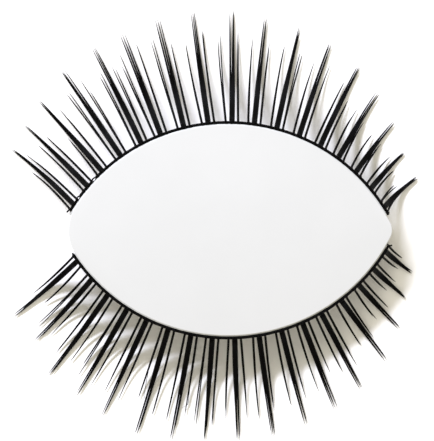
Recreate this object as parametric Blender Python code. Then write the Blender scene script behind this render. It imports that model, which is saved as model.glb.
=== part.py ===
"""A pair of strip false eyelashes round an eye-shaped card.

The card lies flat on z = 0 with its long way along X, and its centre is the origin. The upper
strip runs round the +Y edge and the lower strip round the -Y edge. Each strip is a thread band
stuck to the card's rim, with clusters of lashes fused to it. A cluster is one wide lock between
two thin ones. The lashes drop from the band, level with the card's top, and level out just above
the surface that the card lies on.
"""

import math
from collections import namedtuple

import bmesh
import bpy
from mathutils import Vector

OBJECT_NAME = "false_eyelash_pair"

# Card: an eye shape between two equal arcs, with its inner tip at +X and its outer tip at -X
CARD_ARC_RADIUS = 0.0165
CARD_HEIGHT = 0.0190
CARD_THICKNESS = 0.0030
CARD_RIM_RADIUS = 0.00008
INNER_TIP_RADIUS = 0.0014
OUTER_TIP_RADIUS = 0.0039

# Band: the thread that carries the lashes
BAND_WIDTH = 0.00030
BAND_DEPTH = 0.00050
BAND_CLEARANCE = 0.00005
BAND_COVER = 0.925

# Lashes, measured in plan from the card's edge
LASH_REACH = 0.0105
LOCK_WIDTH = 0.00051
SIDE_LOCK_WIDTH = 0.00020
SIDE_LOCK_GAP = 0.00019
TIP_WIDTH = 0.00004

# Curl: the lashes drop steeply from the band and level out at REST_LEVEL, the height of their
# tips' middle above the surface that the card lies on
REST_LEVEL = 0.00016
CURL_POWER = 3.75

# Fineness of the curved outlines
ARC_STEP = math.radians(2.5)
RIM_SEGMENTS = 3
BAND_BEVEL_RESOLUTION = 1
LOCK_BEVEL_RESOLUTION = 1
SIDE_LOCK_BEVEL_RESOLUTION = 0
WELD_DISTANCE = 1e-6
FLAT_ANGLE = math.radians(0.5)
SHARP_ANGLE = math.radians(40)

# Sizes that follow from the ones above
ARC_DROP = CARD_ARC_RADIUS - CARD_HEIGHT / 2
EDGE_LENGTH = 2 * CARD_ARC_RADIUS * math.acos(ARC_DROP / CARD_ARC_RADIUS)
STRIP_LENGTH = BAND_COVER * EDGE_LENGTH
BAND_MIDDLE = BAND_CLEARANCE + BAND_WIDTH / 2
BAND_LEVEL = CARD_THICKNESS - BAND_DEPTH / 2
SIDE_LOCK_OFFSET = (LOCK_WIDTH + SIDE_LOCK_WIDTH) / 2 + SIDE_LOCK_GAP
LASH_DROP = BAND_LEVEL - REST_LEVEL

# A row for each cluster, from -X to +X. place is the wide lock's root, counted from the middle
# of the card's edge. place, and each lean from root to tip, is a share of the cluster pitch.
# Each reach is a share of LASH_REACH.
Cluster = namedtuple("Cluster", "place lean reach left_lean left_reach right_lean right_reach")

UPPER_CHART = (
    Cluster(-7.96, 0.37, 0.74, 0.38, 0.49, 0.22, 0.62),
    Cluster(-6.95, 0.14, 0.79, 0.21, 0.58, 0.07, 0.58),
    Cluster(-6.04, 0.06, 0.85, 0.15, 0.44, 0.07, 0.68),
    Cluster(-4.99, 0.04, 0.92, 0.05, 0.75, 0.09, 0.77),
    Cluster(-3.94, 0.10, 0.96, 0.13, 0.75, 0.07, 0.74),
    Cluster(-3.01, 0.02, 0.97, -0.04, 0.82, 0.03, 0.85),
    Cluster(-1.95, 0.02, 1.00, -0.04, 0.85, -0.04, 0.77),
    Cluster(-0.87, -0.10, 1.00, -0.16, 0.75, -0.15, 0.84),
    Cluster(0.17, -0.02, 1.00, -0.17, 0.79, -0.13, 0.83),
    Cluster(1.15, -0.10, 0.96, -0.15, 0.77, -0.15, 0.75),
    Cluster(2.15, -0.11, 0.94, -0.16, 0.75, -0.14, 0.73),
    Cluster(3.18, -0.17, 0.88, -0.18, 0.68, -0.21, 0.71),
    Cluster(4.20, -0.19, 0.79, -0.08, 0.62, -0.20, 0.50),
    Cluster(5.14, -0.16, 0.68, -0.21, 0.47, -0.27, 0.41),
    Cluster(6.13, -0.20, 0.58, -0.24, 0.37, -0.29, 0.36),
    Cluster(7.10, -0.19, 0.45, -0.18, 0.34, -0.23, 0.28),
    Cluster(8.10, -0.25, 0.41, -0.20, 0.22, -0.36, 0.21),
)

LOWER_CHART = (
    Cluster(-7.68, 0.22, 0.75, 0.27, 0.51, 0.24, 0.48),
    Cluster(-6.67, 0.21, 0.75, 0.18, 0.65, 0.15, 0.63),
    Cluster(-5.70, 0.21, 0.89, 0.20, 0.71, 0.19, 0.69),
    Cluster(-4.65, 0.11, 0.89, 0.08, 0.76, 0.07, 0.76),
    Cluster(-3.67, 0.06, 0.95, 0.06, 0.76, 0.02, 0.78),
    Cluster(-2.65, 0.09, 0.98, 0.07, 0.69, 0.10, 0.80),
    Cluster(-1.63, 0.05, 0.95, 0.06, 0.80, 0.04, 0.73),
    Cluster(-0.69, 0.03, 0.91, -0.03, 0.80, -0.05, 0.80),
    Cluster(0.29, -0.03, 0.91, -0.10, 0.74, 0.03, 0.74),
    Cluster(1.36, -0.07, 0.90, -0.15, 0.75, -0.18, 0.69),
    Cluster(2.37, -0.10, 0.87, -0.12, 0.68, -0.14, 0.66),
    Cluster(3.34, -0.08, 0.82, -0.14, 0.63, -0.08, 0.52),
    Cluster(4.26, -0.06, 0.76, -0.09, 0.57, -0.10, 0.57),
    Cluster(5.30, -0.02, 0.68, -0.14, 0.45, -0.15, 0.45),
    Cluster(6.32, -0.05, 0.54, -0.16, 0.35, -0.08, 0.35),
    Cluster(7.27, -0.08, 0.41, -0.07, 0.24, -0.12, 0.25),
    Cluster(8.20, -0.14, 0.32, -0.07, 0.20, -0.14, 0.18),
)

# A row for each strip. start and end are the band's ends, in cluster pitches from the middle of
# the edge, and turn is the strip's angle about Z: the lower strip is turned right round.
Strip = namedtuple("Strip", "name chart start end turn")

STRIPS = (
    Strip("upper_lash_strip", UPPER_CHART, -8.40, 8.47, 0.0),
    Strip("lower_lash_strip", LOWER_CHART, -8.09, 8.57, math.pi),
)

# Width along a lock: a row for each section, from root to tip. along is a share of its length
# and width a share of its full width. The last section of every lock is TIP_WIDTH across.
Section = namedtuple("Section", "along width")

LOCK_TAPER = (
    Section(0.00, 0.85),
    Section(0.07, 1.00),
    Section(0.18, 1.00),
    Section(0.32, 0.94),
    Section(0.49, 0.82),
    Section(0.65, 0.74),
    Section(0.82, 0.55),
    Section(1.00, 0.00),
)

SIDE_LOCK_TAPER = (
    Section(0.00, 1.00),
    Section(0.14, 1.00),
    Section(0.32, 0.95),
    Section(0.58, 0.80),
    Section(0.84, 0.58),
    Section(1.00, 0.00),
)

CARD_COLOUR = (0.90, 0.90, 0.89, 1.0)
LASH_COLOUR = (0.010, 0.009, 0.009, 1.0)


def clear_scene():
    """Remove every object that the file opened with."""
    for thing in list(bpy.data.objects):
        bpy.data.objects.remove(thing, do_unlink=True)


def new_collection(name, hidden=False):
    """Link a new collection to the scene."""
    collection = bpy.data.collections.new(name)
    bpy.context.scene.collection.children.link(collection)
    collection.hide_render = hidden
    return collection


def new_material(name, colour, roughness):
    """Make a Principled material with one colour and roughness, and no metal."""
    material = bpy.data.materials.new(name)
    material.use_nodes = True
    shader = material.node_tree.nodes["Principled BSDF"]
    shader.inputs["Base Color"].default_value = colour
    shader.inputs["Roughness"].default_value = roughness
    shader.inputs["Metallic"].default_value = 0.0
    return material


def new_curve(name, outlines, cyclic=False):
    """Make a 3D curve with a POLY spline for each outline of (point, relative radius)."""
    curve = bpy.data.curves.new(name, 'CURVE')
    curve.dimensions = '3D'
    curve.twist_mode = 'Z_UP'
    for outline in outlines:
        spline = curve.splines.new('POLY')
        spline.use_cyclic_u = cyclic
        spline.points.add(len(outline) - 1)
        for control, (point, radius) in zip(spline.points, outline):
            control.co = (*point, 1.0)
            control.radius = radius
    return curve


def curve_to_mesh(name, curve, place, turn, collection):
    """Turn a curve into a closed mesh object at a place, turned about Z."""
    source = bpy.data.objects.new(name + "_curve", curve)
    source.location = place
    source.rotation_euler.z = turn
    collection.objects.link(source)
    bpy.context.view_layer.update()
    evaluated = source.evaluated_get(bpy.context.evaluated_depsgraph_get())
    mesh = bpy.data.meshes.new_from_object(evaluated)
    mesh.name = name
    thing = bpy.data.objects.new(name, mesh)
    thing.matrix_world = source.matrix_world
    collection.objects.link(thing)
    bpy.data.objects.remove(source, do_unlink=True)

    work = bmesh.new()
    work.from_mesh(mesh)
    bmesh.ops.remove_doubles(work, verts=work.verts, dist=WELD_DISTANCE)
    bmesh.ops.recalc_face_normals(work, faces=work.faces)
    work.to_mesh(mesh)
    work.free()
    return thing


def arc_points(centre, radius, start, end):
    """Points along an arc, without its last, counter-clockwise about a centre on the Y or X axis."""
    count = max(2, math.ceil((end - start) / ARC_STEP))
    angles = [start + (end - start) * step / count for step in range(count)]
    return [(centre[0] + radius * math.cos(angle), centre[1] + radius * math.sin(angle), 0.0)
            for angle in angles]


def card_outline():
    """The eye shape: two long arcs joined by a round tip at each end."""
    inner_x = math.sqrt((CARD_ARC_RADIUS - INNER_TIP_RADIUS) ** 2 - ARC_DROP ** 2)
    outer_x = math.sqrt((CARD_ARC_RADIUS - OUTER_TIP_RADIUS) ** 2 - ARC_DROP ** 2)
    inner = math.atan2(ARC_DROP, inner_x)
    outer = math.atan2(ARC_DROP, outer_x)
    half_turn = math.pi
    return (arc_points((inner_x, 0.0), INNER_TIP_RADIUS, -inner, inner)
            + arc_points((0.0, -ARC_DROP), CARD_ARC_RADIUS, inner, half_turn - outer)
            + arc_points((-outer_x, 0.0), OUTER_TIP_RADIUS, half_turn - outer, half_turn + outer)
            + arc_points((0.0, ARC_DROP), CARD_ARC_RADIUS, half_turn + outer, 2 * half_turn - inner))


def round_top_rim(mesh, level):
    """Round the edge between a flat top at a level and the wall below it."""
    work = bmesh.new()
    work.from_mesh(mesh)
    bmesh.ops.dissolve_limit(work, angle_limit=FLAT_ANGLE, verts=work.verts, edges=work.edges)
    top = [face for face in work.faces
           if all(abs(vert.co.z - level) < WELD_DISTANCE for vert in face.verts)]
    rim = [edge for face in top for edge in face.edges]
    bmesh.ops.bevel(work, geom=rim, offset=CARD_RIM_RADIUS, offset_type='OFFSET',
                    segments=RIM_SEGMENTS, profile=0.5, affect='EDGES')
    work.to_mesh(mesh)
    work.free()


def add_card(material, collection):
    """The flat pad that both strips are stuck round."""
    curve = new_curve("card", [[(point, 1.0) for point in card_outline()]], cyclic=True)
    curve.dimensions = '2D'
    curve.fill_mode = 'BOTH'
    curve.extrude = CARD_THICKNESS / 2
    card = curve_to_mesh("card", curve, (0.0, 0.0, CARD_THICKNESS / 2), 0.0, collection)
    round_top_rim(card.data, CARD_THICKNESS / 2)
    finish(card, material)
    return card


def edge_point(along, out, level, heading):
    """A point in a strip's own frame, whose origin is the centre of the card's arc.

    along runs round the card's edge, out is the distance from that edge, and heading is 1, or -1
    on a strip that is turned right round, so that along always grows towards the card's inner tip.
    """
    angle = heading * along / CARD_ARC_RADIUS
    radius = CARD_ARC_RADIUS + out
    return Vector((radius * math.sin(angle), radius * math.cos(angle), level))


def band_outline(start, end, heading):
    """The band's middle line, level with the strip's origin."""
    count = math.ceil((end - start) / (CARD_ARC_RADIUS * ARC_STEP))
    places = [start + (end - start) * step / count for step in range(count + 1)]
    return [(edge_point(place, BAND_MIDDLE, 0.0, heading), 1.0) for place in places]


def curl_level(share):
    """The height of a lash above the band's middle, at a share of the way from it to the reach."""
    return LASH_DROP * (max(0.0, 1 - share) ** CURL_POWER - 1)


def lock_outline(root, lean, reach, curl_reach, width, taper, heading):
    """One lock from the band to its tip, bent sideways by its lean and in height by the curl.

    curl_reach is the reach of the cluster's wide lock. The locks of one cluster share it, so that
    they lie in one curved sheet.
    """
    outline = []
    for section in taper:
        out = BAND_MIDDLE + (reach - BAND_MIDDLE) * section.along
        along = root + lean * (1 - (1 - section.along) ** 2)
        level = curl_level((out - BAND_MIDDLE) / (curl_reach - BAND_MIDDLE))
        full = max(section.width * width, TIP_WIDTH)
        outline.append((edge_point(along, out, level, heading), full / 2))
    return outline


def cluster_outlines(cluster, pitch, heading):
    """The wide lock of a cluster, and the two thin locks beside it."""
    root = cluster.place * pitch
    reach = cluster.reach * LASH_REACH
    wide = lock_outline(root, cluster.lean * pitch, reach, reach, LOCK_WIDTH, LOCK_TAPER, heading)
    thin = [
        lock_outline(root + side * SIDE_LOCK_OFFSET, lean * pitch, share * LASH_REACH, reach,
                     SIDE_LOCK_WIDTH, SIDE_LOCK_TAPER, heading)
        for side, lean, share in ((-1, cluster.left_lean, cluster.left_reach),
                                  (1, cluster.right_lean, cluster.right_reach))
    ]
    return wide, thin


def join(target, tool, cutters):
    """Fuse a tool object into a target with a Boolean union, and hide the tool."""
    union = target.modifiers.new("join_" + tool.name, 'BOOLEAN')
    union.operation = 'UNION'
    union.solver = 'EXACT'
    union.object = tool
    for collection in list(tool.users_collection):
        collection.objects.unlink(tool)
    cutters.objects.link(tool)
    tool.hide_render = True
    tool.display_type = 'WIRE'


def finish(thing, material):
    """Give an object its material and smooth its round faces."""
    thing.data.materials.clear()
    thing.data.materials.append(material)
    thing.data.shade_smooth()
    thing.data.set_sharp_from_angle(angle=SHARP_ANGLE)


def add_strip(strip, material, collection, cutters):
    """A thread band with its wide and thin locks fused to it."""
    heading = round(math.cos(strip.turn))
    pitch = STRIP_LENGTH / len(strip.chart)
    place = (0.0, -heading * ARC_DROP, BAND_LEVEL)
    clusters = [cluster_outlines(cluster, pitch, heading) for cluster in strip.chart]

    band = new_curve(strip.name, [band_outline(strip.start * pitch, strip.end * pitch, heading)])
    band.bevel_depth = BAND_WIDTH / 2
    band.extrude = (BAND_DEPTH - BAND_WIDTH) / 2
    band.bevel_resolution = BAND_BEVEL_RESOLUTION
    band.use_fill_caps = True
    target = curve_to_mesh(strip.name, band, place, strip.turn, collection)
    finish(target, material)

    fringes = (
        ("_wide_locks", [wide for wide, thin in clusters], LOCK_BEVEL_RESOLUTION),
        ("_thin_locks", [lock for wide, thin in clusters for lock in thin],
         SIDE_LOCK_BEVEL_RESOLUTION),
    )
    for ending, outlines, resolution in fringes:
        locks = new_curve(strip.name + ending, outlines)
        locks.bevel_depth = 1.0
        locks.bevel_resolution = resolution
        locks.use_fill_caps = True
        tool = curve_to_mesh(strip.name + ending, locks, place, strip.turn, collection)
        finish(tool, material)
        join(target, tool, cutters)
    return target


def main():
    clear_scene()
    collection = new_collection(OBJECT_NAME)
    cutters = new_collection(OBJECT_NAME + "_cutters", hidden=True)
    card = new_material("card_white", CARD_COLOUR, 0.6)
    lashes = new_material("lash_black", LASH_COLOUR, 0.4)
    add_card(card, collection)
    for strip in STRIPS:
        add_strip(strip, lashes, collection, cutters)


main()
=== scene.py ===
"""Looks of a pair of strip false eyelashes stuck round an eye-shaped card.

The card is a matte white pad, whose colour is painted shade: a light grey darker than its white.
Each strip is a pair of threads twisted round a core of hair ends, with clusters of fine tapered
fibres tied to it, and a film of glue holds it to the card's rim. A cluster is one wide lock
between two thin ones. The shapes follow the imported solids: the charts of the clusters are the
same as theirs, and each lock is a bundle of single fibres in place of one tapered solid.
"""

import math
import random
from collections import namedtuple

import bmesh
import bpy
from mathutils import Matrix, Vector


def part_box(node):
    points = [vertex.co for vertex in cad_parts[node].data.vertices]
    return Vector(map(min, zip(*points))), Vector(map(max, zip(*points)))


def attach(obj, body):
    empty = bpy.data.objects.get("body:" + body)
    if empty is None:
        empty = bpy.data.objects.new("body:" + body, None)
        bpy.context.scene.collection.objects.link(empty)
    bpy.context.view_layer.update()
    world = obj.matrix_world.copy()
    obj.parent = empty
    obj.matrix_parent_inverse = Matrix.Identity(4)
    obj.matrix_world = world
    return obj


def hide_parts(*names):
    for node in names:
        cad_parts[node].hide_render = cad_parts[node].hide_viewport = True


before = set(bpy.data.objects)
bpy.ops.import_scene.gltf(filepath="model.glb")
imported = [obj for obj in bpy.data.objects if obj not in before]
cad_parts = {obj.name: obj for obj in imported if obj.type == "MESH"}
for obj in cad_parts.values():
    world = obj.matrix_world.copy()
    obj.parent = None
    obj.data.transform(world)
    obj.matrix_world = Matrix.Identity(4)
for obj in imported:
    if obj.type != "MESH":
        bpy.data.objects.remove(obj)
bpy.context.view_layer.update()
CARD_LOW, CARD_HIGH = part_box("card")

# Card, in metres
CARD_ARC_RADIUS = 0.0165
CARD_THICKNESS = CARD_HIGH.z
CARD_RIM_RADIUS = 0.00008
CARD_FOOT_RADIUS = 0.00006
INNER_TIP_RADIUS = 0.0014
OUTER_TIP_RADIUS = 0.0039
ARC_DROP = CARD_ARC_RADIUS - (CARD_HIGH.y - CARD_LOW.y) / 2
EDGE_LENGTH = 2 * CARD_ARC_RADIUS * math.acos(ARC_DROP / CARD_ARC_RADIUS)
CARD_ARC_STEP = math.radians(1.0)
FEWEST_ARC_STEPS = 6
CARD_SHARP_ANGLE = math.radians(50)
RIM_SEGMENTS = 6
FOOT_SEGMENTS = 2
WELD_DISTANCE = 1e-7

# Band
BAND_WIDTH = 0.00030
BAND_DEPTH = 0.00050
BAND_CLEARANCE = 0.00005
BAND_COVER = 0.925
BAND_MIDDLE = BAND_CLEARANCE + BAND_WIDTH / 2
BAND_LEVEL = CARD_THICKNESS - BAND_DEPTH / 2
STRIP_LENGTH = BAND_COVER * EDGE_LENGTH

# Threads of the band: two threads of three yarns each, twisted round the core, which is the hair
# ends laid between them. Where the strip is loose, each thread lies LOOSE_SPREAD further out for
# about LOOSE_LENGTH to both sides, and at a frayed end the threads part over SPLAY_LENGTH.
THREAD_RADIUS = 0.000080
TWIST_PITCH = 0.00146
THREAD_COUNT = 2
YARN_COUNT = 3
YARN_RADIUS = 0.000042
YARN_OFFSET = THREAD_RADIUS - YARN_RADIUS
YARN_PITCH = 0.00052
YARN_STEP = 0.00006
CORE_RADIUS = 0.000135
CORE_STEP = 0.00020
LOOSE_LENGTH = 0.00028
LOOSE_SPREAD = 0.00006
SPLAY_LENGTH = 0.00045

# Glue: a film of white glue fills the slit between the card's rim and the band. Its middle lies
# GLUE_OUT from the card's edge and GLUE_DROP below its top.
GLUE_RADIUS = 0.000055
GLUE_OUT = 0.00001
GLUE_DROP = 0.00012
GLUE_STEP = 0.00020

# Lashes
LASH_REACH = 0.0105
LOCK_WIDTH = 0.00051
LOCK_DEPTH = 0.00034
SIDE_LOCK_WIDTH = 0.00020
SIDE_LOCK_GAP = 0.00019
SIDE_LOCK_OFFSET = (LOCK_WIDTH + SIDE_LOCK_WIDTH) / 2 + SIDE_LOCK_GAP
REST_LEVEL = 0.00016
CURL_POWER = 3.75
LASH_DROP = BAND_LEVEL - REST_LEVEL
FIBRE_RADIUS = 0.000055
FIBRE_TIP_RADIUS = 0.000004
FIBRE_SECTIONS = 14
FIBRE_ROWS = (4, 5, 4)
SIDE_FIBRE_OFFSET = 0.000052
DOUBLE_SPREAD = 0.00010
LEAN_POWER = 2

# A fibre wanders sideways and up by FIBRE_WANDER at most, in waves that turn by SWAY_TURN and
# LIFT_TURN radians along it. One fibre of each strand of a wide lock, and of each thin lock, is as
# long as the lock. Each of the others is a random share of it, in LENGTH_RANGE.
FIBRE_WANDER = 0.000022
SWAY_TURN = 3.0
LIFT_TURN = 2.0
LENGTH_RANGE = (0.76, 1.0)

# A lock's fibres gather into its strands between these shares of its reach, until a share of
# their distance from the strand's middle is left: THIN_SPREAD in a thin lock, and in a wide one
# SLIM_SPREAD and as much of SPREAD_GAIN as the strand has of the lock's fibres. The strands'
# middles move to their places at the tip between STRAND_START and STRAND_END.
GATHER_START = 0.25
GATHER_END = 0.75
THIN_SPREAD = 0.45
SLIM_SPREAD = 0.12
SPREAD_GAIN = 0.38
STRAND_START = 0.10
STRAND_END = 1.0

# The seed of the random draws
SEED = 17

# Knots: each lock is tied on by loops round the band
KNOT_RADIUS = 0.000042
KNOT_LOOPS = 4
KNOT_STEP = 0.000115
KNOT_CLEARANCE = 0.00003
KNOT_POINTS = 18
KNOT_TILT = KNOT_STEP / 2
SIDE_KNOT_TILT = KNOT_STEP / 3

# How finely each kind of tube is rounded, as the bevel resolution of its curve
YARN_ROUNDING = 0
KNOT_ROUNDING = 0
FIBRE_ROUNDING = 1
CORE_ROUNDING = 2
GLUE_ROUNDING = 2

# Photograph: its size and the place of the card's centre in it, in pixels, and its scale
IMAGE_WIDTH = 434
IMAGE_HEIGHT = 441
CARD_CENTRE_X = 228.1
CARD_CENTRE_Y = 230.2
PIXEL = 0.00009
CAMERA_DISTANCE = 1.0
SENSOR_WIDTH = 36.0

# A row for each cluster, from -X to +X. place is the wide lock's root, counted from the middle
# of the card's edge. place, and each lean from root to tip, is a share of the cluster pitch.
# Each reach is a share of LASH_REACH. strands holds the wide lock's separate points, as shares
# of LOCK_WIDTH from its middle. left_hairs and right_hairs are the hairs that a thin lock ends in.
Cluster = namedtuple("Cluster", "place lean reach strands left_lean left_reach left_hairs "
                                "right_lean right_reach right_hairs")

UPPER_CHART = (
    Cluster(-7.96, 0.37, 0.74, (-0.2, 0.0), 0.38, 0.49, 1, 0.22, 0.62, 1),
    Cluster(-6.95, 0.14, 0.79, (-0.1, 0.1), 0.21, 0.58, 1, 0.07, 0.58, 1),
    Cluster(-6.04, 0.06, 0.85, (-0.2, 0.0), 0.15, 0.44, 1, 0.07, 0.68, 1),
    Cluster(-4.99, 0.04, 0.92, (-0.2, 0.0, 0.4), 0.05, 0.75, 2, 0.09, 0.77, 2),
    Cluster(-3.94, 0.10, 0.96, (-0.5, -0.2, 0.1), 0.13, 0.75, 2, 0.07, 0.74, 2),
    Cluster(-3.01, 0.02, 0.97, (-0.4, 0.0, 0.4), -0.04, 0.82, 2, 0.03, 0.85, 1),
    Cluster(-1.95, 0.02, 1.00, (-0.5, -0.1, 0.3), -0.04, 0.85, 2, -0.04, 0.77, 1),
    Cluster(-0.87, -0.10, 1.00, (-0.3, 0.0, 0.3), -0.16, 0.75, 1, -0.15, 0.84, 1),
    Cluster(0.17, -0.02, 1.00, (-0.6, 0.0, 0.0), -0.17, 0.79, 2, -0.13, 0.83, 1),
    Cluster(1.15, -0.10, 0.96, (-0.2, 0.2), -0.15, 0.77, 1, -0.15, 0.75, 1),
    Cluster(2.15, -0.11, 0.94, (0.0,), -0.16, 0.75, 1, -0.14, 0.73, 2),
    Cluster(3.18, -0.17, 0.88, (-0.2, 0.2), -0.18, 0.68, 1, -0.21, 0.71, 1),
    Cluster(4.20, -0.19, 0.79, (-0.1, 0.2, 0.4), -0.08, 0.62, 1, -0.20, 0.50, 1),
    Cluster(5.14, -0.16, 0.68, (-0.5, -0.2, 0.1), -0.21, 0.47, 1, -0.27, 0.41, 1),
    Cluster(6.13, -0.20, 0.58, (-0.2, 0.1), -0.24, 0.37, 1, -0.29, 0.36, 1),
    Cluster(7.10, -0.19, 0.45, (-0.2, 0.0), -0.18, 0.34, 1, -0.23, 0.28, 1),
    Cluster(8.10, -0.25, 0.41, (0.0,), -0.20, 0.22, 2, -0.36, 0.21, 1),
)

LOWER_CHART = (
    Cluster(-7.68, 0.22, 0.75, (0.0,), 0.27, 0.51, 1, 0.24, 0.48, 1),
    Cluster(-6.67, 0.21, 0.75, (-0.2, 0.1), 0.18, 0.65, 2, 0.15, 0.63, 1),
    Cluster(-5.70, 0.21, 0.89, (-0.3, -0.1, 0.1), 0.20, 0.71, 1, 0.19, 0.69, 1),
    Cluster(-4.65, 0.11, 0.89, (-0.1, 0.2), 0.08, 0.76, 2, 0.07, 0.76, 1),
    Cluster(-3.67, 0.06, 0.95, (-0.2, 0.1), 0.06, 0.76, 1, 0.02, 0.78, 1),
    Cluster(-2.65, 0.09, 0.98, (-0.2, 0.2), 0.07, 0.69, 1, 0.10, 0.80, 1),
    Cluster(-1.63, 0.05, 0.95, (-0.2, 0.2), 0.06, 0.80, 1, 0.04, 0.73, 1),
    Cluster(-0.69, 0.03, 0.91, (-0.1, 0.1), -0.03, 0.80, 2, -0.05, 0.80, 1),
    Cluster(0.29, -0.03, 0.91, (0.0, 0.0, 0.4), -0.10, 0.74, 1, 0.03, 0.74, 1),
    Cluster(1.36, -0.07, 0.90, (-0.3, 0.0, 0.3), -0.15, 0.75, 1, -0.18, 0.69, 1),
    Cluster(2.37, -0.10, 0.87, (-0.2, 0.2), -0.12, 0.68, 1, -0.14, 0.66, 1),
    Cluster(3.34, -0.08, 0.82, (-0.5, -0.2, 0.2), -0.14, 0.63, 1, -0.08, 0.52, 1),
    Cluster(4.26, -0.06, 0.76, (-0.4, -0.1, 0.1), -0.09, 0.57, 1, -0.10, 0.57, 1),
    Cluster(5.30, -0.02, 0.68, (-0.2, 0.2), -0.14, 0.45, 1, -0.15, 0.45, 1),
    Cluster(6.32, -0.05, 0.54, (-0.2, 0.2), -0.16, 0.35, 1, -0.08, 0.35, 1),
    Cluster(7.27, -0.08, 0.41, (0.0,), -0.07, 0.24, 1, -0.12, 0.25, 1),
    Cluster(8.20, -0.14, 0.32, (0.0,), -0.07, 0.20, 1, -0.14, 0.18, 1),
)

# A row for each strip. side is 1 along +Y and -1 along -Y. start and end are the band's ends and
# loose the places where its threads part, in cluster pitches from the middle of the edge.
# start_splay and end_splay are how far each thread strays at the two ends.
Strip = namedtuple("Strip", "name side chart start end loose start_splay end_splay")

STRIPS = (
    Strip("upper", 1, UPPER_CHART, -8.40, 8.47, (-7.63, -6.56), 0.00012, 0.0),
    Strip("lower", -1, LOWER_CHART, -8.09, 8.57, (), 0.0, 0.00020),
)

# Stray fibres that curl out of the lower strip's thin locks: places in cluster pitches, and
# distances from the card's edge as shares of LASH_REACH
StrayPoint = namedtuple("StrayPoint", "place out")

STRAYS = (
    (StrayPoint(-2.86, 0.39), StrayPoint(-2.78, 0.52), StrayPoint(-2.73, 0.60),
     StrayPoint(-2.70, 0.64), StrayPoint(-2.60, 0.67)),
    (StrayPoint(-1.33, 0.36), StrayPoint(-1.30, 0.51), StrayPoint(-1.29, 0.61),
     StrayPoint(-1.36, 0.64), StrayPoint(-1.47, 0.66)),
)
STRAY_RADIUS = 0.000024
STRAY_TAPER_POWER = 4
STRAY_POINTS = 24

# Thickness of a fibre along it: shares of its length and of its full radius
Section = namedtuple("Section", "along width")
FIBRE_TAPER = (Section(0.0, 1.0), Section(0.55, 1.02), Section(0.75, 0.95), Section(0.88, 0.71),
               Section(0.95, 0.46), Section(1.0, 0.0))

# A material's look. One noise, cloud, tints it between dark and light, and another, grain, gives
# the relief. rough_by says which of the two sets the roughness between rough_low and rough_high.
# Noise scales are in repeats to the metre, and relief_depth is in metres. The tint goes from dark
# to light while the noise goes from RAMP_START to RAMP_END.
Look = namedtuple("Look", "name dark light cloud_scale cloud_detail grain_scale grain_detail "
                          "relief relief_depth rough_by rough_low rough_high specular")
RAMP_START = 0.3
RAMP_END = 0.7

# Matte white foamed board with a fine grain. Its colour is painted shade: the white is darkened to
# a light grey of about 0.55, so that under the key light, which clips the floor to white, the card
# stays a shade darker than the floor.
CARD_LOOK = Look(
    "card_board_painted_shade", dark=(0.546, 0.543, 0.533), light=(0.560, 0.557, 0.547),
    cloud_scale=180.0, cloud_detail=3.0, grain_scale=9000.0, grain_detail=2.0,
    relief=0.25, relief_depth=0.00002, rough_by="grain", rough_low=0.5, rough_high=0.68,
    specular=0.3)

# White glue that has dried with a slight gloss. Its colour is painted shade: like the card's, the
# white is darkened to a light grey.
GLUE_LOOK = Look(
    "glue_painted_shade", dark=(0.54, 0.54, 0.53), light=(0.60, 0.60, 0.59),
    cloud_scale=1200.0, cloud_detail=2.0, grain_scale=1200.0, grain_detail=2.0,
    relief=0.3, relief_depth=0.00001, rough_by="grain", rough_low=0.35, rough_high=0.55,
    specular=0.3)

# Black synthetic fibre with a faint sheen
FIBRE_LOOK = Look(
    "lash_black_fibre", dark=(0.0007, 0.0006, 0.0006), light=(0.0026, 0.0024, 0.0024),
    cloud_scale=2500.0, cloud_detail=2.0, grain_scale=30000.0, grain_detail=1.0,
    relief=0.2, relief_depth=0.000004, rough_by="cloud", rough_low=0.30, rough_high=0.46,
    specular=0.05)

# Black cotton thread, duller than the fibres
THREAD_LOOK = Look(
    "band_black_thread", dark=(0.0010, 0.0009, 0.0009), light=(0.0050, 0.0047, 0.0046),
    cloud_scale=6000.0, cloud_detail=3.0, grain_scale=22000.0, grain_detail=3.0,
    relief=0.5, relief_depth=0.000010, rough_by="grain", rough_low=0.55, rough_high=0.80,
    specular=0.05)

# A plain white table top
FLOOR_LOOK = Look(
    "floor_white", dark=(0.915, 0.895, 0.875), light=(0.925, 0.905, 0.885),
    cloud_scale=40.0, cloud_detail=2.0, grain_scale=40.0, grain_detail=2.0,
    relief=0.0, relief_depth=0.0, rough_by="grain", rough_low=0.9, rough_high=0.9,
    specular=0.1)

# Floor: a little below the card's underside, so that the two faces don't coincide
FLOOR_SIZE = 2.0
FLOOR_LEVEL = -0.00002

# Key light: a wide soft box at the upper left. KEY_SHIFT is how far a shadow falls from the card's
# top edge, and KEY_LEVEL the brightness that the light gives a white floor, in each colour.
KEY_SHIFT = Vector((0.00228, -0.00345, -0.0030))
KEY_LEVEL = Vector((0.80, 0.84, 1.00))
KEY_DISTANCE = 2.5
KEY_WIDTH = 1.45
KEY_HEIGHT = 0.30

# Soft light all round
WORLD_COLOUR = (0.832, 0.800, 0.684)


def even_steps(start, end, step):
    """Evenly spaced places from start to end, at most a step apart."""
    count = math.ceil((end - start) / step)
    return [start + (end - start) * index / count for index in range(count + 1)]


def smooth_step(value, low, high):
    """0 below low, 1 above high, and a smooth rise between them."""
    share = min(1.0, max(0.0, (value - low) / (high - low)))
    return share * share * (3 - 2 * share)


def taper(along):
    """A fibre's radius at a share of its length."""
    for near, far in zip(FIBRE_TAPER, FIBRE_TAPER[1:]):
        if along <= far.along:
            part = (along - near.along) / (far.along - near.along)
            width = near.width + (far.width - near.width) * part
            return max(FIBRE_TIP_RADIUS, FIBRE_RADIUS * width)
    return FIBRE_TIP_RADIUS


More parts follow.
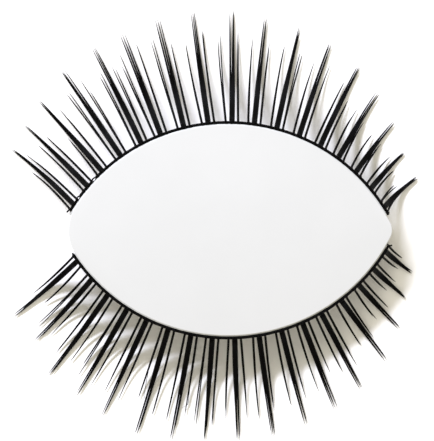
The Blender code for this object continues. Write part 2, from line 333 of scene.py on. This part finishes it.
def edge_point(side, along, out, level, across=0.0):
    """A point beside the card. along runs round its edge towards +X, out is the distance from
    the edge, and across is a further sideways shift in real length."""
    radius = CARD_ARC_RADIUS + out
    angle = along / CARD_ARC_RADIUS + across / radius
    return Vector((radius * math.sin(angle), side * (radius * math.cos(angle) - ARC_DROP), level))


def curl_level(out, curl_reach):
    """The height of a lash at a distance from the edge.

    It drops steeply from the band and levels out towards the tip, which is at curl_reach.
    """
    share = min(1.0, (out - BAND_MIDDLE) / (curl_reach - BAND_MIDDLE))
    return BAND_LEVEL + LASH_DROP * ((1 - share) ** CURL_POWER - 1)


def add_tubes(name, outlines, rounding, cyclic=False):
    """One mesh object of round tubes, each along an outline of (point, radius)."""
    curve = bpy.data.curves.new(name, 'CURVE')
    curve.dimensions = '3D'
    curve.bevel_depth = 1.0
    curve.bevel_resolution = rounding
    curve.use_fill_caps = not cyclic
    for outline in outlines:
        spline = curve.splines.new('POLY')
        spline.use_cyclic_u = cyclic
        spline.points.add(len(outline) - 1)
        for control, (point, radius) in zip(spline.points, outline):
            control.co = (*point, 1.0)
            control.radius = radius
    return curve_to_mesh(name, curve)


def curve_to_mesh(name, curve):
    """Turn a curve into a mesh object with its caps welded on and its round faces smooth."""
    source = bpy.data.objects.new(name + "_curve", curve)
    bpy.context.scene.collection.objects.link(source)
    bpy.context.view_layer.update()
    mesh = bpy.data.meshes.new_from_object(
        source.evaluated_get(bpy.context.evaluated_depsgraph_get()))
    mesh.name = name
    bpy.data.objects.remove(source, do_unlink=True)
    work = bmesh.new()
    work.from_mesh(mesh)
    bmesh.ops.remove_doubles(work, verts=work.verts, dist=WELD_DISTANCE)
    bmesh.ops.recalc_face_normals(work, faces=work.faces)
    work.to_mesh(mesh)
    work.free()
    mesh.shade_smooth()
    piece = bpy.data.objects.new(name, mesh)
    bpy.context.scene.collection.objects.link(piece)
    return piece


def place(piece, node, material):
    """Put a finished piece on the body, in place of a node."""
    piece.data.materials.clear()
    piece.data.materials.append(material)
    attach(piece, "root")
    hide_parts(node)


def place_on_strip(piece, strip, material):
    """Put a finished piece on the body, in place of its strip's node."""
    place(piece, strip.name + "_lash_strip", material)


def arc_points(centre, radius, start, end):
    """Points along an arc, without its last."""
    count = max(FEWEST_ARC_STEPS, math.ceil((end - start) / CARD_ARC_STEP))
    angles = [start + (end - start) * step / count for step in range(count)]
    return [Vector((centre[0] + radius * math.cos(angle), centre[1] + radius * math.sin(angle), 0))
            for angle in angles]


def card_outline():
    """The eye shape: two long arcs joined by a round tip at each end."""
    inner_x = math.sqrt((CARD_ARC_RADIUS - INNER_TIP_RADIUS) ** 2 - ARC_DROP ** 2)
    outer_x = math.sqrt((CARD_ARC_RADIUS - OUTER_TIP_RADIUS) ** 2 - ARC_DROP ** 2)
    inner = math.atan2(ARC_DROP, inner_x)
    outer = math.atan2(ARC_DROP, outer_x)
    half_turn = math.pi
    return (arc_points((inner_x, 0.0), INNER_TIP_RADIUS, -inner, inner)
            + arc_points((0.0, -ARC_DROP), CARD_ARC_RADIUS, inner, half_turn - outer)
            + arc_points((-outer_x, 0.0), OUTER_TIP_RADIUS, half_turn - outer, half_turn + outer)
            + arc_points((0.0, ARC_DROP), CARD_ARC_RADIUS,
                         half_turn + outer, 2 * half_turn - inner))


def add_card(material):
    """The flat pad, with a soft top rim and a slightly eased foot."""
    work = bmesh.new()
    base = work.faces.new([work.verts.new(point) for point in card_outline()])
    raised = bmesh.ops.extrude_face_region(work, geom=[base])
    top = [item for item in raised["geom"] if isinstance(item, bmesh.types.BMVert)]
    bmesh.ops.translate(work, vec=(0, 0, CARD_THICKNESS), verts=top)
    bmesh.ops.recalc_face_normals(work, faces=work.faces)
    for level, radius, segments in ((CARD_THICKNESS, CARD_RIM_RADIUS, RIM_SEGMENTS),
                                    (0.0, CARD_FOOT_RADIUS, FOOT_SEGMENTS)):
        rim = [edge for edge in work.edges
               if all(abs(vert.co.z - level) < WELD_DISTANCE for vert in edge.verts)]
        bmesh.ops.bevel(work, geom=rim, offset=radius, offset_type='OFFSET', segments=segments,
                        profile=0.5, affect='EDGES')
    mesh = bpy.data.meshes.new("card_pad")
    work.to_mesh(mesh)
    work.free()
    mesh.shade_smooth()
    mesh.set_sharp_from_angle(angle=CARD_SHARP_ANGLE)
    piece = bpy.data.objects.new("card_pad", mesh)
    bpy.context.scene.collection.objects.link(piece)
    place(piece, "card", material)


def thread_spread(strip, pitch, along):
    """How far the threads lie from the band's middle: further where it is loose or frayed."""
    loose = sum(math.exp(-((along - spot * pitch) / LOOSE_LENGTH) ** 2) for spot in strip.loose)
    near_start = 1 - smooth_step(along - strip.start * pitch, 0, SPLAY_LENGTH)
    near_end = 1 - smooth_step(strip.end * pitch - along, 0, SPLAY_LENGTH)
    return (BAND_WIDTH / 2 - THREAD_RADIUS + LOOSE_SPREAD * loose
            + strip.start_splay * near_start + strip.end_splay * near_end)


def add_threads(strip, pitch, material):
    """Two threads twisted together, of three yarns each, that part where the strip is loose."""
    origin = (strip.loose[0] if strip.loose else 0.0) * pitch
    deep = BAND_DEPTH / 2 - THREAD_RADIUS
    outlines = []
    for thread in range(THREAD_COUNT):
        for yarn in range(YARN_COUNT):
            outline = []
            for along in even_steps(strip.start * pitch, strip.end * pitch, YARN_STEP):
                twist = 2 * math.pi * ((along - origin) / TWIST_PITCH + thread / THREAD_COUNT)
                turn = 2 * math.pi * (yarn / YARN_COUNT - along / YARN_PITCH)
                wide = thread_spread(strip, pitch, along)
                out = BAND_MIDDLE + wide * math.cos(twist) + YARN_OFFSET * math.cos(turn)
                level = BAND_LEVEL + deep * math.sin(twist) + YARN_OFFSET * math.sin(turn)
                outline.append((edge_point(strip.side, along, out, level), YARN_RADIUS))
            outlines.append(outline)
    piece = add_tubes(strip.name + "_band_threads", outlines, YARN_ROUNDING)
    place_on_strip(piece, strip, material)


def add_core(strip, pitch, material):
    """The hair ends laid along between the threads, with gaps where the threads part."""
    breaks = [spot * pitch for spot in strip.loose]
    starts = [strip.start * pitch + SPLAY_LENGTH] + [where + LOOSE_LENGTH for where in breaks]
    ends = [where - LOOSE_LENGTH for where in breaks] + [strip.end * pitch - SPLAY_LENGTH]
    outlines = [[(edge_point(strip.side, along, BAND_MIDDLE, BAND_LEVEL), CORE_RADIUS)
                 for along in even_steps(start, end, CORE_STEP)]
                for start, end in zip(starts, ends)]
    piece = add_tubes(strip.name + "_band_core", outlines, CORE_ROUNDING)
    place_on_strip(piece, strip, material)


def add_glue(strip, pitch, material):
    """The film of glue along the card's rim, as long as the band."""
    outline = [(edge_point(strip.side, along, GLUE_OUT, CARD_THICKNESS - GLUE_DROP), GLUE_RADIUS)
               for along in even_steps(strip.start * pitch, strip.end * pitch, GLUE_STEP)]
    piece = add_tubes(strip.name + "_glue", [outline], GLUE_ROUNDING)
    place(piece, "card", material)


def knot_loop(side, along, tilt):
    """A loop of fibre round the band, whose top is shifted along the band by tilt."""
    outline = []
    for step in range(KNOT_POINTS):
        angle = 2 * math.pi * step / KNOT_POINTS
        out = BAND_MIDDLE + KNOT_CLEARANCE + BAND_WIDTH / 2 * math.cos(angle)
        level = BAND_LEVEL + (BAND_DEPTH / 2 + KNOT_RADIUS / 2) * math.sin(angle)
        outline.append((edge_point(side, along + tilt * math.sin(angle), out, level), KNOT_RADIUS))
    return outline


def add_knots(strip, pitch, material, rng):
    """The loops that tie the locks of each cluster to the band."""
    outlines = []
    for cluster in strip.chart:
        root = cluster.place * pitch
        for loop in range(KNOT_LOOPS):
            along = root + (loop - (KNOT_LOOPS - 1) / 2) * KNOT_STEP
            outlines.append(knot_loop(strip.side, along, rng.uniform(-1, 1) * KNOT_TILT))
        for way in (-1, 1):
            along = root + way * SIDE_LOCK_OFFSET
            for half in (-1, 1):
                outlines.append(knot_loop(strip.side, along + half * KNOT_STEP / 2,
                                          rng.uniform(-1, 1) * SIDE_KNOT_TILT))
    piece = add_tubes(strip.name + "_knots", outlines, KNOT_ROUNDING, cyclic=True)
    place_on_strip(piece, strip, material)


def fibre(side, root, lean, reach, curl_reach, length, middle, across, deep, strand, rest, rng):
    """One fibre of a lock.

    middle is where its strand starts in the lock's section, and strand where it ends beside the
    lock's middle. across and deep are the fibre's place beside the strand's middle, rest the share
    of them that is left at the tip, and length the share of the reach that it has.
    """
    sway = rng.uniform(-1, 1) * FIBRE_WANDER
    lift = rng.uniform(-1, 1) * FIBRE_WANDER
    phase = rng.uniform(0, 2 * math.pi)
    outline = []
    for step in range(FIBRE_SECTIONS + 1):
        own = step / FIBRE_SECTIONS
        share = own * length
        out = BAND_MIDDLE + (reach - BAND_MIDDLE) * share
        along = root + lean * (1 - (1 - share) ** LEAN_POWER)
        parted = smooth_step(share, STRAND_START, STRAND_END)
        spread = 1 - (1 - rest) * smooth_step(share, GATHER_START, GATHER_END)
        shift = middle * (1 - parted) + strand * parted + across * spread
        shift += sway * own * math.sin(phase + SWAY_TURN * own)
        level = curl_level(out, curl_reach) + deep * spread
        level += lift * own * math.cos(phase + LIFT_TURN * own)
        outline.append((edge_point(side, along, out, level, shift), taper(own)))
    return outline


def section_places():
    """Places of the fibres in a wide lock's section, in rows one above another."""
    half_width = LOCK_WIDTH / 2 - FIBRE_RADIUS
    half_depth = LOCK_DEPTH / 2 - FIBRE_RADIUS
    widest = max(FIBRE_ROWS) - 1
    for row, count in enumerate(FIBRE_ROWS):
        deep = half_depth * (2 * row / (len(FIBRE_ROWS) - 1) - 1)
        for column in range(count):
            yield half_width * (2 * column - (count - 1)) / widest, deep


def add_wide_locks(strip, pitch, material, rng):
    """The wide locks: bundles of fibres that part into strands towards their tips."""
    outlines = []
    places = sorted(section_places())
    for cluster in strip.chart:
        reach = cluster.reach * LASH_REACH
        count = len(cluster.strands)
        for strand in sorted(set(cluster.strands)):
            first = cluster.strands.index(strand)
            last = first + cluster.strands.count(strand)
            bundle = places[first * len(places) // count:last * len(places) // count]
            middle = sum(across for across, deep in bundle) / len(bundle)
            rest = SLIM_SPREAD + SPREAD_GAIN * len(bundle) / len(places)
            for index, (across, deep) in enumerate(bundle):
                length = 1.0 if index == 0 else rng.uniform(*LENGTH_RANGE)
                outlines.append(fibre(strip.side, cluster.place * pitch, cluster.lean * pitch,
                                      reach, reach, length, middle, across - middle, deep,
                                      strand * LOCK_WIDTH, rest, rng))
    piece = add_tubes(strip.name + "_wide_locks", outlines, FIBRE_ROUNDING)
    place_on_strip(piece, strip, material)


def stray_outline(points, side, pitch, curl_reach):
    """A thin fibre along a smooth curve through its chart points."""
    outline = []
    spans = len(points) - 1
    for step in range(STRAY_POINTS + 1):
        share = step / STRAY_POINTS * spans
        index = min(int(share), spans - 1)
        part = share - index
        corner = [points[min(max(index + shift, 0), spans)] for shift in (-1, 0, 1, 2)]
        along, out = (catmull(part, *[getattr(point, field) for point in corner])
                      for field in ("place", "out"))
        radius = max(FIBRE_TIP_RADIUS, STRAY_RADIUS * (1 - (share / spans) ** STRAY_TAPER_POWER))
        outline.append((edge_point(side, along * pitch, out * LASH_REACH,
                                   curl_level(out * LASH_REACH, curl_reach)), radius))
    return outline


def catmull(part, before, start, end, after):
    """A smooth curve from start to end, through values before and after them."""
    return 0.5 * (2 * start + (end - before) * part
                  + (2 * before - 5 * start + 4 * end - after) * part ** 2
                  + (3 * start - before - 3 * end + after) * part ** 3)


def add_thin_locks(strip, pitch, material, rng):
    """The thin locks beside each wide one, of three fibres each, and the stray fibres."""
    outlines = []
    for cluster in strip.chart:
        curl_reach = cluster.reach * LASH_REACH
        for way, lean, reach, hairs in (
                (-1, cluster.left_lean, cluster.left_reach, cluster.left_hairs),
                (1, cluster.right_lean, cluster.right_reach, cluster.right_hairs)):
            root = cluster.place * pitch + way * SIDE_LOCK_OFFSET
            for part, deep in ((-1, 0.0), (1, 0.0), (0, SIDE_FIBRE_OFFSET)):
                strand = (part or way) * DOUBLE_SPREAD if hairs == 2 else 0.0
                length = 1.0 if part == -way else rng.uniform(*LENGTH_RANGE)
                outlines.append(fibre(strip.side, root, lean * pitch, reach * LASH_REACH,
                                      curl_reach, length, 0.0, part * SIDE_FIBRE_OFFSET, deep,
                                      strand, THIN_SPREAD, rng))
    if strip.side < 0:
        outlines += [stray_outline(points, strip.side, pitch, LASH_REACH) for points in STRAYS]
    piece = add_tubes(strip.name + "_thin_locks", outlines, FIBRE_ROUNDING)
    place_on_strip(piece, strip, material)


def add_noise(nodes, links, scale, detail):
    """Noise in the object's own coordinates, in repeats to the metre."""
    where = nodes.new("ShaderNodeTexCoord")
    noise = nodes.new("ShaderNodeTexNoise")
    noise.inputs["Scale"].default_value = scale
    noise.inputs["Detail"].default_value = detail
    links.new(where.outputs["Object"], noise.inputs["Vector"])
    return noise.outputs["Fac"]


def add_ramp(nodes, links, source, dark, light):
    """A colour between two others, set by a value."""
    ramp = nodes.new("ShaderNodeValToRGB")
    for element, position, colour in zip(ramp.color_ramp.elements, (RAMP_START, RAMP_END),
                                         (dark, light)):
        element.position = position
        element.color = (*colour, 1.0)
    links.new(source, ramp.inputs["Fac"])
    return ramp.outputs["Color"]


def add_bump(nodes, links, source, shader, strength, distance):
    """Surface relief from a value."""
    bump = nodes.new("ShaderNodeBump")
    bump.inputs["Strength"].default_value = strength
    bump.inputs["Distance"].default_value = distance
    links.new(source, bump.inputs["Height"])
    links.new(bump.outputs["Normal"], shader.inputs["Normal"])


def add_roughness(nodes, links, source, shader, low, high):
    """Roughness between two values."""
    spread = nodes.new("ShaderNodeMapRange")
    spread.inputs["To Min"].default_value = low
    spread.inputs["To Max"].default_value = high
    links.new(source, spread.inputs["Value"])
    links.new(spread.outputs["Result"], shader.inputs["Roughness"])


def add_material(look):
    """A material from its look. One with no relief is smooth."""
    material = bpy.data.materials.new(look.name)
    material.use_nodes = True
    nodes = material.node_tree.nodes
    links = material.node_tree.links
    shader = nodes["Principled BSDF"]
    noise = {"cloud": add_noise(nodes, links, look.cloud_scale, look.cloud_detail),
             "grain": add_noise(nodes, links, look.grain_scale, look.grain_detail)}
    tint = add_ramp(nodes, links, noise["cloud"], look.dark, look.light)
    links.new(tint, shader.inputs["Base Color"])
    if look.relief:
        add_bump(nodes, links, noise["grain"], shader, look.relief, look.relief_depth)
    add_roughness(nodes, links, noise[look.rough_by], shader, look.rough_low, look.rough_high)
    shader.inputs["Specular IOR Level"].default_value = look.specular
    return material


def add_stage():
    """The floor, the light from the upper left and the soft light all round."""
    mesh = bpy.data.meshes.new("floor")
    work = bmesh.new()
    bmesh.ops.create_grid(work, x_segments=1, y_segments=1, size=FLOOR_SIZE / 2)
    bmesh.ops.translate(work, vec=(0, 0, FLOOR_LEVEL), verts=work.verts)
    work.to_mesh(mesh)
    work.free()
    mesh.materials.append(add_material(FLOOR_LOOK))
    floor = bpy.data.objects.new("floor", mesh)
    bpy.context.scene.collection.objects.link(floor)

    towards = -KEY_SHIFT.normalized()
    data = bpy.data.lights.new("key", 'AREA')
    data.shape = 'ELLIPSE'
    data.size = KEY_WIDTH
    data.size_y = KEY_HEIGHT
    # The power that gives a flat white floor its level, at this distance and slant
    data.energy = max(KEY_LEVEL) * (math.pi * KEY_DISTANCE) ** 2 / towards.z
    data.color = KEY_LEVEL / max(KEY_LEVEL)
    key = bpy.data.objects.new("key", data)
    key.location = KEY_DISTANCE * towards
    key.rotation_mode = 'QUATERNION'
    key.rotation_quaternion = towards.to_track_quat('Z', 'Y')
    bpy.context.scene.collection.objects.link(key)

    world = bpy.data.worlds.new("studio")
    world.use_nodes = True
    world.node_tree.nodes["Background"].inputs["Color"].default_value = (*WORLD_COLOUR, 1.0)
    bpy.context.scene.world = world
    bpy.context.scene.view_settings.view_transform = 'Standard'


def add_camera():
    """A long lens straight above, framed as in the photograph."""
    data = bpy.data.cameras.new("camera")
    data.sensor_width = SENSOR_WIDTH
    height = CAMERA_DISTANCE - CARD_THICKNESS
    data.lens = SENSOR_WIDTH * height / (max(IMAGE_WIDTH, IMAGE_HEIGHT) * PIXEL)
    data.clip_end = 2 * CAMERA_DISTANCE
    camera = bpy.data.objects.new("camera", data)
    camera.location = ((IMAGE_WIDTH / 2 - CARD_CENTRE_X) * PIXEL,
                       (CARD_CENTRE_Y - IMAGE_HEIGHT / 2) * PIXEL, CAMERA_DISTANCE)
    bpy.context.scene.collection.objects.link(camera)
    bpy.context.scene.camera = camera


def add_strips():
    """Both strips, each as its threads, core, glue, knots, wide locks and thin locks."""
    fibres = add_material(FIBRE_LOOK)
    threads = add_material(THREAD_LOOK)
    glue = add_material(GLUE_LOOK)
    rng = random.Random(SEED)
    for strip in STRIPS:
        pitch = STRIP_LENGTH / len(strip.chart)
        add_threads(strip, pitch, threads)
        add_core(strip, pitch, threads)
        add_glue(strip, pitch, glue)
        add_knots(strip, pitch, fibres, rng)
        add_wide_locks(strip, pitch, fibres, rng)
        add_thin_locks(strip, pitch, fibres, rng)


add_camera()
add_card(add_material(CARD_LOOK))
add_strips()
add_stage()
